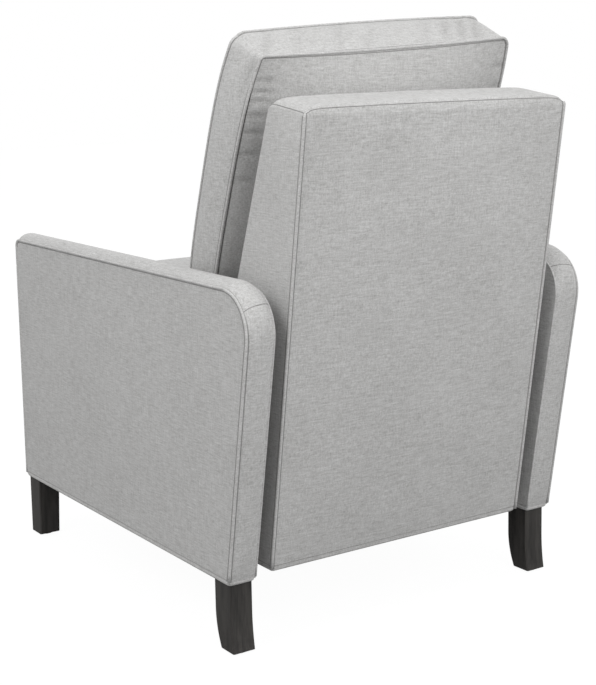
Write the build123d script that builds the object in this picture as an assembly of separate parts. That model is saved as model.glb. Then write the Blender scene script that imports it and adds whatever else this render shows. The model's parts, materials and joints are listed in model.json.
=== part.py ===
from build123d import *
import math
import os

# High-leg push-back recliner, in millimetres.
# The sitter faces -Y, so y runs to the rear, z is up, and the sitter's left is +X.
# While the pieces are made, y = 0 is the front of the arms and z = 0 is the floor.
# At the end all pieces are moved together so that the origin lies below the middle.

os.makedirs("parts", exist_ok=True)
nodes = {}

# Driving sizes of the whole chair
overall_width = 712
arm_width = 52
arm_height = 634
arm_depth = 812
arm_rear_lean = 10
leg_height = 123
back_side_gap = 31.5
back_rear_lean = 9.1
back_front_lean = 20.3
back_top_rear = 906
back_top_front = 917
seat_front = 43
seat_crown_height = 556

# Fits and clearances
fit_gap = 0.3
pin_gap = 0.25
open_pivot_gap = 1.0
cut_overrun = 5

# Upholstery and timber stock
cover_wall = 9
rail_stock = 22
panel_stock = 22

arm_outer_x = overall_width / 2
arm_inner_x = arm_outer_x - arm_width
arm_bottom = leg_height
back_half = arm_inner_x - back_side_gap


def rise(height, lean):
    """How far a line that leans by some degrees moves to the rear over a height."""
    return height * math.tan(math.radians(lean))


def closed_outline(points, radii):
    """Flat face from its corners, each with its own rounding."""
    return make_face(FilletPolyline(*points, radius=radii, close=True).edges())


def side_solid(face, x_start, thickness):
    """Thickens a side-view face (y to the rear, z up) along +X."""
    return extrude(Plane.YZ.offset(x_start) * face, amount=thickness)


def block(x_range, y_range, z_range):
    """Square-edged piece between two corners."""
    size = [high - low for low, high in (x_range, y_range, z_range)]
    centre = [(high + low) / 2 for low, high in (x_range, y_range, z_range)]
    return Pos(*centre) * Box(*size)


def bar(start, end, width):
    """Flat bar with round ends between two points of the side view."""
    length = math.dist(start, end)
    angle = math.degrees(math.atan2(end[1] - start[1], end[0] - start[0]))
    middle = ((start[0] + end[0]) / 2, (start[1] + end[1]) / 2)
    return Pos(*middle) * SlotCenterToCenter(length, width, rotation=angle)


def rod(point, radius, x_start, length):
    """Round piece along +X at a point of the side view."""
    return side_solid(Pos(*point) * Circle(radius), x_start, length)


def keep(name, *solids):
    """Keeps a node of one solid, or of several separate ones."""
    nodes[name] = solids[0] if len(solids) == 1 else Compound(children=list(solids))


def other_side(shape):
    """The same piece on the other side of the chair."""
    return mirror(shape, about=Plane.YZ)


def keep_pair(name, solid):
    """Keeps a left piece and its mirrored right twin as two nodes."""
    keep(name + "_left", solid)
    keep(name + "_right", other_side(solid))


def keep_both(name, solids):
    """Keeps small left pieces and their right twins as one node."""
    keep(name, *solids, *[other_side(solid) for solid in solids])


# Arms
# Each arm is a padded cover, drawn as a closed shell, over a frame of rails and posts.
arm_foot_round = 6
arm_front_round = 22
arm_rear_round = 75
arm_edge_round = 14
arm_rail_height = 40
arm_post_depth = 45
arm_top_depth = arm_depth + rise(arm_height - arm_bottom, arm_rear_lean)
arm_outline = closed_outline(
    [(0, arm_bottom), (0, arm_height), (arm_top_depth, arm_height), (arm_depth, arm_bottom)],
    [arm_foot_round, arm_front_round, arm_rear_round, arm_foot_round],
)
arm_cavity = offset(arm_outline, amount=-cover_wall)
arm_timber = offset(arm_outline, amount=-(cover_wall + fit_gap))
arm_timber_x = arm_inner_x + cover_wall + fit_gap
arm_timber_width = arm_width - 2 * (cover_wall + fit_gap)

# Legs stand under the arms, a little inside their outer face
leg_inset = 6
leg_setback = 1
front_leg_top = 46
front_leg_foot = 43
rear_leg_width = 43
rear_leg_setback = 6
rear_leg_top_depth = 51
rear_leg_foot_depth = 41
rear_leg_straight = 51
leg_edge = 2
glide_height = 4
glide_radius = 13
leg_bolt_radius = 4
leg_bolt_in_leg = 45
leg_bolt_in_frame = 38
leg_outer_x = arm_outer_x - leg_inset
rear_leg_rear_y = arm_depth - rear_leg_setback
rear_leg_front_y = rear_leg_rear_y - rear_leg_top_depth
rear_leg_heel_y = arm_depth
rear_leg_toe_y = rear_leg_heel_y - rear_leg_foot_depth
rear_leg_knee = leg_height - rear_leg_straight
front_leg_centre = (leg_outer_x - front_leg_top / 2, leg_setback + front_leg_top / 2)
front_foot_centre = (leg_outer_x - front_leg_foot / 2, leg_setback + front_leg_foot / 2)
rear_leg_centre = (leg_outer_x - rear_leg_width / 2, (rear_leg_front_y + rear_leg_rear_y) / 2)
rear_foot_centre = (leg_outer_x - rear_leg_width / 2, (rear_leg_toe_y + rear_leg_heel_y) / 2)

# Mechanism: flat steel links in parallel planes beside the seat box
steel = 3
wall_clearance = 1.5
link_width = 22
seat_plate_bar = 26
pin_radius = 4.5
rivet_head_radius = 7.5
rivet_head = 0.9
plane_pitch = steel + wall_clearance
plane_base = arm_inner_x - steel
plane_swing = plane_base - plane_pitch
plane_seat = plane_swing - plane_pitch
plane_drive = plane_seat - plane_pitch
plane_upper = plane_drive - plane_pitch
plane_front = plane_upper - plane_pitch

# Back hinge at the rear end of the seat plates, and the seat box ahead of it
back_pivot_ahead = 162
back_pivot_drop = 17
seat_rail_bottom = 352
seat_rail_height = 60
seat_box_front = 35
seat_box_side_gap = 2.5
seat_box_ahead = 30
seat_box_half = plane_front - seat_box_side_gap
seat_rail_top = seat_rail_bottom + seat_rail_height
pivot_back = (arm_depth - back_pivot_ahead, seat_rail_bottom - back_pivot_drop)
seat_box_rear = pivot_back[0] - seat_box_ahead

# Swing links: four equal links on which the seat rides forward
swing_length = 110
swing_lean = 18
swing_pivot_drop = 12
swing_front_setback = 250
swing_rear_ahead = 90
swing_seat_front = (swing_front_setback, seat_rail_bottom - swing_pivot_drop)
swing_seat_rear = (pivot_back[0] - swing_rear_ahead, seat_rail_bottom - swing_pivot_drop)
swing_step = (swing_length * math.sin(math.radians(swing_lean)),
              swing_length * math.cos(math.radians(swing_lean)))
swing_base_front = (swing_seat_front[0] - swing_step[0], swing_seat_front[1] - swing_step[1])
swing_base_rear = (swing_seat_rear[0] - swing_step[0], swing_seat_rear[1] - swing_step[1])


def from_seat_corner(offset_to_pivot):
    """Point of the side view, from the low front corner of the seat box."""
    return (seat_box_front + offset_to_pivot[0], seat_rail_bottom + offset_to_pivot[1])


# Footrest linkage, closed: pivots named by what they join, from the seat box corner
drive_offset = (55.0, -20.2)
front_offset = (80.5, 46.0)
cross_offset = (92.4, -120.9)
tail_offset = (114.8, -90.1)
knee_offset = (92.4, -170.9)
pad_upper_offset = (5.0, 28.0)
pad_lower_offset = (5.0, -22.0)
pivot_drive = from_seat_corner(drive_offset)
pivot_front = from_seat_corner(front_offset)
pivot_cross = from_seat_corner(cross_offset)
pivot_tail = from_seat_corner(tail_offset)
pivot_knee = from_seat_corner(knee_offset)
pivot_pad_upper = from_seat_corner(pad_upper_offset)
pivot_pad_lower = from_seat_corner(pad_lower_offset)

# Footrest
footrest_bottom_rise = 27
footrest_top_gap = 7
footrest_board_thick = 15
footrest_board_inset = 6
footrest_board_front = 7
footrest_half = plane_drive - wall_clearance
footrest_bottom = leg_height + footrest_bottom_rise
footrest_top = seat_rail_top - footrest_top_gap


def make_arms():
    """Arm covers with their frames inside, and the holes for the leg bolts."""
    shell = side_solid(arm_outline, arm_inner_x, arm_width)
    rim = shell.faces().sort_by(Axis.X)
    round_edges = [edge for face in (rim[0], rim[-1]) for edge in face.outer_wire().edges()
                   if edge.center().Z > arm_bottom + arm_foot_round]
    shell = fillet(round_edges, arm_edge_round)
    shell -= side_solid(arm_cavity, arm_inner_x + cover_wall, arm_width - 2 * cover_wall)
    inside = arm_bottom + cover_wall + fit_gap, arm_height - cover_wall - fit_gap
    timber = side_solid(arm_timber, arm_timber_x, arm_timber_width)
    full_x = (arm_timber_x, arm_timber_x + arm_timber_width)
    reach = (0, arm_top_depth)
    rail_low, rail_high = inside[0] + arm_rail_height, inside[1] - arm_rail_height
    bottom_rail = timber & block(full_x, reach, (inside[0], rail_low))
    top_rail = timber & block(full_x, reach, (rail_high, inside[1]))
    post_heights = (rail_low + fit_gap, rail_high - fit_gap)
    front_post = timber & block(full_x, (0, cover_wall + arm_post_depth), post_heights)
    middle = timber & block(full_x, reach, post_heights)
    rear_post = middle - Pos(0, -arm_post_depth, 0) * middle
    mechanism_rail = block(
        full_x,
        (cover_wall + arm_post_depth + fit_gap, arm_depth - cover_wall - arm_post_depth),
        (swing_base_front[1] - base_plate_height / 2, swing_base_front[1] + base_plate_height / 2),
    )
    for centre in (front_leg_centre, rear_leg_centre):
        hole = Pos(*centre, arm_bottom) * Cylinder(
            leg_bolt_radius + pin_gap, 2 * (leg_bolt_in_frame + fit_gap))
        shell -= hole
        bottom_rail -= hole
    keep_pair("arm_cover", shell)
    frame = [bottom_rail, top_rail, front_post, rear_post, mechanism_rail]
    keep("arm_frame_left", *frame)
    keep("arm_frame_right", *[other_side(piece) for piece in frame])


def make_legs():
    """Square front legs, sabre-curved rear legs, their bolts and glides."""
    bolt_hole = leg_bolt_radius + pin_gap
    front_leg = loft([
        Pos(*front_foot_centre, glide_height) * Rectangle(front_leg_foot, front_leg_foot),
        Pos(*front_leg_centre, leg_height) * Rectangle(front_leg_top, front_leg_top),
    ], ruled=True)
    front_leg = chamfer(front_leg.edges().filter_by(lambda e: e.length > leg_height / 2), leg_edge)
    front_line = Line((rear_leg_front_y, leg_height), (rear_leg_front_y, rear_leg_knee))
    front_sweep = TangentArc((rear_leg_front_y, rear_leg_knee), (rear_leg_toe_y, glide_height),
                             tangent=(0, -1))
    foot_line = Line((rear_leg_toe_y, glide_height), (rear_leg_heel_y, glide_height))
    rear_sweep = TangentArc((rear_leg_rear_y, rear_leg_knee), (rear_leg_heel_y, glide_height),
                            tangent=(0, -1))
    rear_line = Line((rear_leg_rear_y, rear_leg_knee), (rear_leg_rear_y, leg_height))
    top_line = Line((rear_leg_rear_y, leg_height), (rear_leg_front_y, leg_height))
    profile = make_face([front_line, front_sweep, foot_line, rear_sweep, rear_line, top_line])
    rear_leg = side_solid(profile, leg_outer_x - rear_leg_width, rear_leg_width)
    rim = rear_leg.faces().sort_by(Axis.X)
    side_edges = [edge for face in (rim[0], rim[-1]) for edge in face.outer_wire().edges()
                  if glide_height < edge.center().Z < leg_height]
    rear_leg = chamfer([edge for edge in side_edges if edge.length > leg_edge * 4], leg_edge)
    bolts = []
    for centre, leg_name, leg in ((front_leg_centre, "front_leg", front_leg),
                                  (rear_leg_centre, "rear_leg", rear_leg)):
        leg -= Pos(*centre, leg_height) * Cylinder(bolt_hole, 2 * (leg_bolt_in_leg + fit_gap))
        keep_pair(leg_name, leg)
        length = leg_bolt_in_leg + leg_bolt_in_frame
        middle = leg_height + (leg_bolt_in_frame - leg_bolt_in_leg) / 2
        bolts.append(Pos(*centre, middle) * Cylinder(leg_bolt_radius, length))
    keep_both("leg_bolts", bolts)
    keep_both("leg_glides", [Pos(*centre, glide_height / 2) * Cylinder(glide_radius, glide_height)
                             for centre in (front_foot_centre, rear_foot_centre)])


# Stretchers tie the two arms low down
stretcher_rise = 4
stretcher_height = 31
stretcher_bottom = leg_height + stretcher_rise
front_stretcher_y = 72
rear_stretcher_y = 520
base_plate_height = 60
base_plate_overhang = 28
base_screw_radius = 2.5
base_screw_length = 30
base_screw_head = 4.5
base_screw_spacing = 80


def make_base():
    """Stretchers between the arms, and the steel plates that carry the swing links."""
    span = arm_inner_x - fit_gap
    heights = (stretcher_bottom, stretcher_bottom + stretcher_height)
    for name, y_start in (("front_stretcher", front_stretcher_y), ("rear_stretcher", rear_stretcher_y)):
        keep(name, block((-span, span), (y_start, y_start + rail_stock), heights))
    middle = ((swing_base_front[0] + swing_base_rear[0]) / 2, swing_base_front[1])
    length = swing_base_rear[0] - swing_base_front[0] + 2 * base_plate_overhang
    face = Pos(*middle) * RectangleRounded(length, base_plate_height, base_screw_head)
    face -= [Pos(*pivot) * Circle(pin_radius + pin_gap) for pivot in (swing_base_front, swing_base_rear)]
    screw_count = int(length // base_screw_spacing)
    screws = [(middle[0] + (place - (screw_count - 1) / 2) * base_screw_spacing,
               middle[1] + side * (base_plate_height / 2 - 2 * base_screw_head))
              for place in range(screw_count) for side in (-1, 1)]
    face -= [Pos(*point) * Circle(base_screw_radius + pin_gap) for point in screws]
    keep_pair("base_plate", side_solid(face, plane_base, steel))
    solids = []
    for point in screws:
        shank = rod(point, base_screw_radius, plane_base, base_screw_length)
        head = rod(point, base_screw_head, plane_base - rivet_head, rivet_head)
        solids.append(shank + head)
        for side in ("left", "right"):
            hole = rod(point, base_screw_radius + pin_gap, plane_base, base_screw_length + fit_gap)
            drill(["arm_cover_" + side, "arm_frame_" + side], hole if side == "left" else other_side(hole))
    keep_both("base_plate_screws", solids)


def drill(names, hole):
    """Cuts one hole through the solids of the nodes that it crosses."""
    for name in names:
        pieces = [solid - hole for solid in nodes[name].solids()]
        keep(name, *pieces)


def rivet(point, plane_outer, plane_inner, flush_outside=False):
    """Rivet through two links: a shank with a low head on each free face."""
    inner = min(plane_outer, plane_inner)
    outer = max(plane_outer, plane_inner) + steel
    shank = rod(point, pin_radius, inner, outer - inner)
    shank += rod(point, rivet_head_radius, inner - rivet_head, rivet_head)
    if not flush_outside:
        shank += rod(point, rivet_head_radius, outer, rivet_head)
    return shank


def link(bars, width, x_start, holes, open_holes=()):
    """Steel link: bars with round ends, drilled at its pivots."""
    face = Sketch() + [bar(start, end, width) for start, end in bars]
    face -= [Pos(*point) * Circle(pin_radius + pin_gap) for point in holes]
    face -= [Pos(*point) * Circle(pin_radius + open_pivot_gap) for point in open_holes]
    return side_solid(face, x_start, steel)


def make_swing_links():
    """Four equal links between the base plates and the seat plates."""
    for name, low, high in (("front_swing_link", swing_base_front, swing_seat_front),
                            ("rear_swing_link", swing_base_rear, swing_seat_rear)):
        keep_pair(name, link([(low, high)], link_width, plane_swing, [low, high]))
    keep_both("base_rivets", [rivet(low, plane_base, plane_swing, flush_outside=True)
                              for low in (swing_base_front, swing_base_rear)])


# Seat plates carry every seat pivot; sleeves and bolts hold them to the seat box
seat_plate_drop = 2
seat_plate_ahead = 50
seat_bolt_shares = (0.154, 0.463, 0.69, 0.979)
sleeve_radius = 8
sleeve_bolt_radius = 3.5
sleeve_bolt_head = 7
sleeve_head_thick = 1.1
bolt_in_rail = 18
seat_plate_top = seat_rail_top - seat_plate_drop
seat_plate_rear = pivot_back[0] - seat_plate_ahead
seat_bolt_places = [pivot_front[0] + share * (seat_plate_rear - pivot_front[0])
                    for share in seat_bolt_shares]


def sleeve_bolt(point, x_inner, x_outer, depth):
    """Spacer sleeve between a timber face and a plate, with its bolt through both."""
    sleeve = rod(point, sleeve_radius, x_inner, x_outer - x_inner)
    shank = rod(point, sleeve_bolt_radius, x_inner - depth, depth + x_outer - x_inner + steel)
    head = rod(point, sleeve_bolt_head, x_outer + steel, sleeve_head_thick)
    return sleeve + shank + head


def make_seat_plates():
    """Seat plates with a lobe down to each pivot, their bolts and their rivets."""
    bar_line = seat_plate_top - seat_plate_bar / 2
    top_bar = ((pivot_front[0], bar_line), (seat_plate_rear, bar_line))
    lobes = [((pivot[0], bar_line), pivot) for pivot in (swing_seat_front, swing_seat_rear)]
    lobes += [(pivot_front, pivot_drive), ((seat_plate_rear, bar_line), pivot_back)]
    holes = [pivot_drive, pivot_front, swing_seat_front, swing_seat_rear, pivot_back]
    plate = link([top_bar] + lobes, seat_plate_bar, plane_seat, holes)
    bolts = []
    for y in seat_bolt_places:
        point = (y, bar_line)
        plate -= rod(point, sleeve_bolt_radius + pin_gap, plane_seat - cut_overrun, steel + 2 * cut_overrun)
        bolts.append(sleeve_bolt(point, seat_box_half, plane_seat, bolt_in_rail))
    keep_pair("seat_plate", plate)
    keep_both("seat_plate_bolts", bolts)
    keep_both("seat_rivets", [
        rivet(pivot_drive, plane_seat, plane_drive),
        rivet(pivot_front, plane_seat, plane_front),
        rivet(swing_seat_front, plane_swing, plane_seat),
        rivet(swing_seat_rear, plane_swing, plane_seat),
    ])


# Seat box top: nosing over the footrest, wire springs, deck pad and dust cloth
nosing_setback = 5
nosing_lap = 9
nosing_thick = 19
nosing_round = 6
spring_wire = 1.9
spring_rows = 5
spring_spacing = 100
spring_half_width = 22
spring_pitch = 36
spring_clip = 12
spring_clip_height = 6
spring_end_gap = 1.9
dust_cloth_thick = 1.2
bend_share = 0.25
bend_radius_share = 0.2
nosing_top = seat_rail_top + nosing_thick
nosing_rear = seat_box_front + nosing_lap
spring_top = seat_rail_top + spring_clip_height


def zigzag(length, wire_plane):
    """Flat wire spring along +Y: straight cross runs joined by tangent bends."""
    turns = int(length // spring_pitch)
    run = length / turns
    points = [(0, 0)]
    for turn in range(turns):
        side = spring_half_width if turn % 2 else -spring_half_width
        points += [(side, (turn + bend_share) * run), (side, (turn + 1 - bend_share) * run)]
    points.append((0, length))
    path = wire_plane * FilletPolyline(*points, radius=run * bend_radius_share)
    start = Plane(origin=path @ 0, z_dir=path % 0)
    return sweep(start * Circle(spring_wire), path=path)


def make_seat_box():
    """Timber seat box with its springs, deck and dust cloth."""
    heights = (seat_rail_bottom, seat_rail_top)
    inner_half = seat_box_half - rail_stock
    side = block((inner_half, seat_box_half), (seat_box_front, seat_box_rear), heights)
    for y in seat_bolt_places:
        point = (y, seat_plate_top - seat_plate_bar / 2)
        side -= rod(point, sleeve_bolt_radius + pin_gap, seat_box_half - bolt_in_rail - fit_gap,
                    bolt_in_rail + cut_overrun)
    keep_pair("seat_side_rail", side)
    across = (-inner_half, inner_half)
    keep("seat_front_rail", block(across, (seat_box_front, seat_box_front + rail_stock), heights))
    keep("seat_rear_rail", block(across, (seat_box_rear - rail_stock, seat_box_rear), heights))
    nosing = block((-seat_box_half, seat_box_half), (nosing_setback - seat_front, nosing_rear),
                   (seat_rail_top, nosing_top))
    front_edges = nosing.faces().sort_by(Axis.Y)[0].edges().filter_by(Axis.X)
    keep("seat_nosing", fillet(front_edges, nosing_round))
    keep("dust_cloth", block((-seat_box_half, seat_box_half), (seat_box_front, seat_box_rear),
                             (seat_rail_bottom - dust_cloth_thick, seat_rail_bottom)))
    keep("seat_deck", block((-seat_box_half, seat_box_half), (nosing_rear + fit_gap, seat_box_rear),
                            (spring_top + fit_gap, nosing_top)))
    spring_start = seat_box_front + rail_stock
    spring_end = seat_box_rear - rail_stock
    row = zigzag(spring_end - spring_start - 2 * spring_end_gap, Plane.XY)
    solids = []
    for place in range(spring_rows):
        x = (place - (spring_rows - 1) / 2) * spring_spacing
        solids.append(Pos(x, spring_start + spring_end_gap, spring_top - spring_wire) * row)
        for y in (spring_start - spring_clip / 2, spring_end + spring_clip / 2):
            solids.append(Pos(x, y, seat_rail_top + spring_clip_height / 2)
                          * Box(spring_clip, spring_clip, spring_clip_height))
    keep("seat_springs", *solids)


def pillow_section(half_width, low, high, low_crown, high_crown, side_bulge):
    """Cushion section: long arcs with a crown, short arcs at the sides, flat where a crown is zero."""
    middle = (low + high) / 2
    corners = [(-half_width, low), (half_width, low), (half_width, high), (-half_width, high)]
    peaks = [(0, low - low_crown), (half_width + side_bulge, middle),
             (0, high + high_crown), (-half_width - side_bulge, middle)]
    crowns = [low_crown, side_bulge, high_crown, side_bulge]
    edges = []
    for place, (start, peak, crown) in enumerate(zip(corners, peaks, crowns)):
        end = corners[(place + 1) % len(corners)]
        edges.append(ThreePointArc(start, peak, end) if crown else Line(start, end))
    return make_face(edges)


# Seat cushion: crowned on top, bowed at the sides, rolled over at the front
seat_cushion_side_gap = 7
seat_cushion_bulge = 5
seat_cushion_ahead = 10
seat_cushion_crown = 15
seat_cushion_rear_drop = 36
seat_roll_round = 40
seat_cushion_edge_round = 8
seat_cushion_half = arm_inner_x - seat_cushion_side_gap - seat_cushion_bulge
seat_cushion_bottom = nosing_top + fit_gap
seat_cushion_rear = pivot_back[0] - seat_cushion_ahead
seat_cushion_rear_top = seat_crown_height - seat_cushion_rear_drop


def make_seat_cushion():
    """Crowned seat cushion with a rolled front edge, lower at the rear."""
    ends = []
    for y, top in ((-seat_front, seat_crown_height), (seat_cushion_rear, seat_cushion_rear_top)):
        place = Plane(origin=(0, y, 0), x_dir=(-1, 0, 0), z_dir=(0, 1, 0))
        ends.append(place * pillow_section(
            seat_cushion_half, seat_cushion_bottom, top - seat_cushion_crown,
            0, seat_cushion_crown, seat_cushion_bulge))
    side = closed_outline(
        [(-seat_front, seat_cushion_bottom), (-seat_front, seat_crown_height),
         (seat_cushion_rear, seat_cushion_rear_top), (seat_cushion_rear, seat_cushion_bottom)],
        [seat_cushion_edge_round, seat_roll_round, seat_roll_round, seat_cushion_edge_round])
    reach = seat_cushion_half + seat_cushion_bulge + cut_overrun
    keep("seat_cushion", loft(ends, ruled=True) & side_solid(side, -reach, 2 * reach))


# Back: plywood side panels and rails inside a padded cover that tapers to its hem
back_hem_rise = 8
back_stand_out = 1
back_knee_rise = 18
back_hip_behind = 18
back_hip_drop = 5
back_hem_depth = 50
back_corner_round = 12
back_top_front_round = 24
back_knee_round = 60
back_edge_round = 8
back_hem = leg_height + back_hem_rise
back_rear_y = arm_depth + back_stand_out
back_knee_z = seat_rail_top + back_knee_rise
back_hip = (pivot_back[0] + back_hip_behind, pivot_back[1] - back_hip_drop)
back_top_y = back_rear_y + rise(back_top_rear - back_hem, back_rear_lean)
back_top_depth = 99
back_top_front_y = back_top_y - back_top_depth
back_knee_y = back_top_front_y - rise(back_top_front - back_knee_z, back_front_lean)
back_outline = closed_outline(
    [(back_rear_y, back_hem), (back_top_y, back_top_rear), (back_top_front_y, back_top_front),
     (back_knee_y, back_knee_z), back_hip, (back_rear_y - back_hem_depth, back_hem)],
    [back_corner_round, back_corner_round, back_top_front_round,
     back_knee_round, back_knee_round, back_corner_round],
)
back_rail_height = 50
back_top_rail_drop = 61
back_lumbar_rail_rise = 20
back_bottom_rail_rise = 29
webbing_width = 50
webbing_thick = 2
webbing_shares = (0.06, 0.35, 0.64, 0.87)
bracket_bolt_offsets = ((52, 90), (88, 190))
bracket_bolt_in_panel = 16
back_top_rail_z = back_top_rear - back_top_rail_drop
back_lumbar_rail_z = back_knee_z + back_lumbar_rail_rise
back_bottom_rail_z = back_hem + back_bottom_rail_rise
bracket_points = [(pivot_back[0] + behind, pivot_back[1] + above)
                  for behind, above in bracket_bolt_offsets]


def front_strip(z_low, height, depth, lean, y_at_low):
    """Four-sided side-view face that follows a leaning line."""
    step = rise(height, lean)
    return make_face(Polyline(
        (y_at_low, z_low), (y_at_low + step, z_low + height),
        (y_at_low + step + depth, z_low + height), (y_at_low + depth, z_low), close=True).edges())


def make_back():
    """Back cover, side panels, rails and webbing."""
    shell = side_solid(back_outline, -back_half, 2 * back_half)
    rim = shell.faces().sort_by(Axis.X)
    shell = fillet([edge for face in (rim[0], rim[-1]) for edge in face.outer_wire().edges()],
                   back_edge_round)
    cavity_half = back_half - cover_wall
    shell -= side_solid(offset(back_outline, amount=-cover_wall), -cavity_half, 2 * cavity_half)
    panel_face = offset(back_outline, amount=-(cover_wall + fit_gap))
    panel_x = cavity_half - fit_gap - panel_stock
    panel = side_solid(panel_face, panel_x, panel_stock)
    inset = (cover_wall + fit_gap) / math.cos(math.radians(back_front_lean))
    rails = []
    for z_low in (back_top_rail_z, back_lumbar_rail_z):
        y_low = back_knee_y + rise(z_low - back_knee_z, back_front_lean) + inset + webbing_thick + fit_gap
        rails.append((z_low, y_low, back_front_lean))
    rear_y = back_rear_y + rise(back_bottom_rail_z - back_hem, back_rear_lean) - inset - rail_stock
    rails.append((back_bottom_rail_z, rear_y, back_rear_lean))
    keep("back_rails", *[
        side_solid(front_strip(z_low, back_rail_height, rail_stock, lean, y_low), -panel_x, 2 * panel_x)
        for z_low, y_low, lean in rails])
    straps = []
    webbing_start = back_lumbar_rail_z + back_rail_height
    for share in webbing_shares:
        z_low = webbing_start + share * (back_top_rail_z - webbing_start)
        y_low = back_knee_y + rise(z_low - back_knee_z, back_front_lean) + inset
        straps.append(side_solid(front_strip(z_low, webbing_width, webbing_thick, back_front_lean, y_low),
                                 -panel_x, 2 * panel_x))
    keep("back_webbing", *straps)
    bolts = []
    panel_outer = panel_x + panel_stock
    for point in bracket_points:
        bolts.append(sleeve_bolt(point, panel_outer, plane_drive, bracket_bolt_in_panel))
        hole = rod(point, sleeve_radius + fit_gap, panel_outer, plane_drive - panel_outer)
        shell -= hole
        shell -= other_side(hole)
        panel -= rod(point, sleeve_bolt_radius + pin_gap, panel_outer - bracket_bolt_in_panel - fit_gap,
                     bracket_bolt_in_panel + cut_overrun)
    keep("back_cover", shell)
    keep_both("back_side_panels", [panel])
    keep_both("back_bracket_bolts", bolts)
    bars = [(pivot_back, bracket_points[0]), (bracket_points[0], bracket_points[1])]
    bracket = link(bars, seat_plate_bar, plane_drive, [pivot_back])
    for point in bracket_points:
        bracket -= rod(point, sleeve_bolt_radius + pin_gap, plane_drive - cut_overrun,
                       steel + 2 * cut_overrun)
    keep_pair("back_bracket", bracket)
    keep_both("back_hinge_pins", [rivet(pivot_back, plane_seat, plane_drive)])


# Back cushion: a box cushion that stands on the seat cushion and leans on the front of the back
# Its borders are set off forward from the front face of the back
back_cushion_side_gap = 24
back_cushion_bulge = 8
back_cushion_reach = 587
back_cushion_contact = 0.5
back_border_rear = 68
back_border_rear_top = 51
back_border_front = 150
back_border_front_top = 139
back_cushion_front_crown = 34
back_cushion_end_crown = 12
back_cushion_corner = 14
back_cushion_sections = 7
swell_power = 4
back_cushion_half = arm_inner_x - back_cushion_side_gap - back_cushion_bulge


def make_back_cushion():
    """Box cushion with crowned front and rear panels and bowed sides."""
    lean = math.radians(back_front_lean)
    up = (0, math.sin(lean), math.cos(lean))
    seat_slope = seat_cushion_rear_drop / (seat_front + seat_cushion_rear)
    roll_y = seat_cushion_rear - seat_roll_round
    roll_z = seat_cushion_rear_top + seat_roll_round * (seat_slope - math.hypot(1, seat_slope))
    seat_reach = (roll_y - back_knee_y) * up[1] + (roll_z - back_knee_z) * up[2] + seat_roll_round
    foot = seat_reach + fit_gap
    sections = []
    for step in range(back_cushion_sections):
        share = step / (back_cushion_sections - 1)
        swell = 1 - (2 * share - 1) ** swell_power
        rear = back_border_rear + (back_border_rear_top - back_border_rear) * share ** 2
        front = back_border_front + (back_border_front_top - back_border_front) * share ** swell_power
        rear_crown = back_cushion_end_crown + (rear - back_cushion_contact - back_cushion_end_crown) * swell
        front_crown = (back_cushion_end_crown
                       + (back_cushion_front_crown - back_cushion_end_crown) * swell)
        along = foot + share * (back_cushion_reach - foot)
        origin = (0, back_knee_y + along * up[1], back_knee_z + along * up[2])
        place = Plane(origin=origin, x_dir=(-1, 0, 0), z_dir=up)
        sections.append(place * pillow_section(
            back_cushion_half - back_cushion_corner * (1 - swell), rear, front,
            rear_crown, front_crown, back_cushion_bulge))
    keep("back_cushion", loft(sections))


# Footrest linkage widths and the tie between its two sides
tie_tube_share = 0.8
tie_tube_radius = 9
tie_tube_wall = 1.5
bracket_flange_width = 40
bracket_flange_margin = 18
bracket_web_margin = 14
footrest_screw_radius = 2.2
footrest_screw_length = 11
footrest_screw_count = 3
footrest_screw_share = 0.25
footrest_pad_inset = 2
footrest_pad_bulge = 4
footrest_pad_edge = 30
footrest_pad_crown = 20
footrest_pad_end_share = 0.7
footrest_pad_edge_share = 0.25


def make_footrest_links():
    """Six-bar footrest linkage on each side of the seat."""
    keep_pair("drive_link", link([(pivot_drive, pivot_cross), (pivot_cross, pivot_knee)],
                                 link_width, plane_drive, [pivot_drive, pivot_cross, pivot_knee]))
    keep_both("drive_link_rivets", [rivet(pivot_cross, plane_drive, plane_upper),
                                    rivet(pivot_knee, plane_seat, plane_drive)])
    tie = (pivot_front[0] + tie_tube_share * (pivot_tail[0] - pivot_front[0]),
           pivot_front[1] + tie_tube_share * (pivot_tail[1] - pivot_front[1]))
    front = link([(pivot_front, pivot_tail)], link_width, plane_front, [pivot_front, pivot_tail])
    keep_pair("front_link", front)
    keep_both("front_link_rivets", [rivet(pivot_tail, plane_upper, plane_front)])
    keep("footrest_tie_tube", side_solid(
        Pos(*tie) * (Circle(tie_tube_radius) - Circle(tie_tube_radius - tie_tube_wall)),
        -plane_front, 2 * plane_front))
    keep_pair("upper_link", link([(pivot_tail, pivot_cross), (pivot_cross, pivot_pad_upper)],
                                 link_width, plane_upper, [pivot_cross, pivot_pad_upper], [pivot_tail]))
    keep_both("upper_link_rivets", [rivet(pivot_pad_upper, plane_drive, plane_upper)])
    keep_pair("lower_link", link([(pivot_knee, pivot_pad_lower)],
                                 link_width, plane_seat, [pivot_knee, pivot_pad_lower]))
    keep_both("lower_link_rivets", [rivet(pivot_pad_lower, plane_seat, plane_drive)])


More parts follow.
